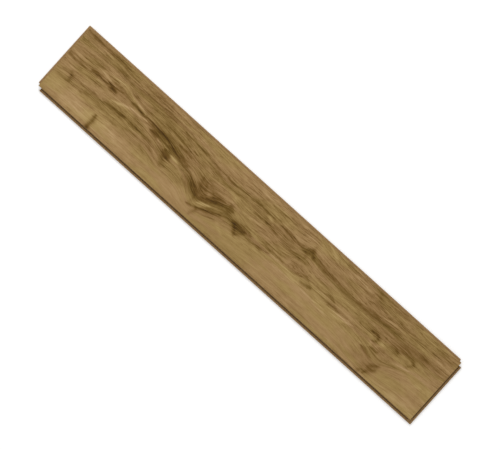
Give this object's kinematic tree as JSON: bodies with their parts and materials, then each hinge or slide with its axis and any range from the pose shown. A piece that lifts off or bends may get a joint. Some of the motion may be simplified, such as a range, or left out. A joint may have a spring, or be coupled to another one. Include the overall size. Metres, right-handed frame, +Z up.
{
  "type": "laminate floor plank",
  "caption": "Oak-print laminate plank for a herringbone floor, with a locking tongue on one long edge and one end and the matching groove on the others.",
  "frame": {"origin": "on the back, under the middle of the decor face, so that the joint lines stand at half the face's length and width", "axes": "+X along the plank towards the groove end, +Y across it towards the tongue's long edge, +Z up out of the decor face"},
  "size_m": [0.6575, 0.1075, 0.008],
  "materials": {
    "oak_laminate": "satin oak print with matching emboss, bare fibreboard edges and plain paper back"
  },
  "bodies": {
    "root": {"plank": "oak_laminate"}
  },
  "joints": []
}
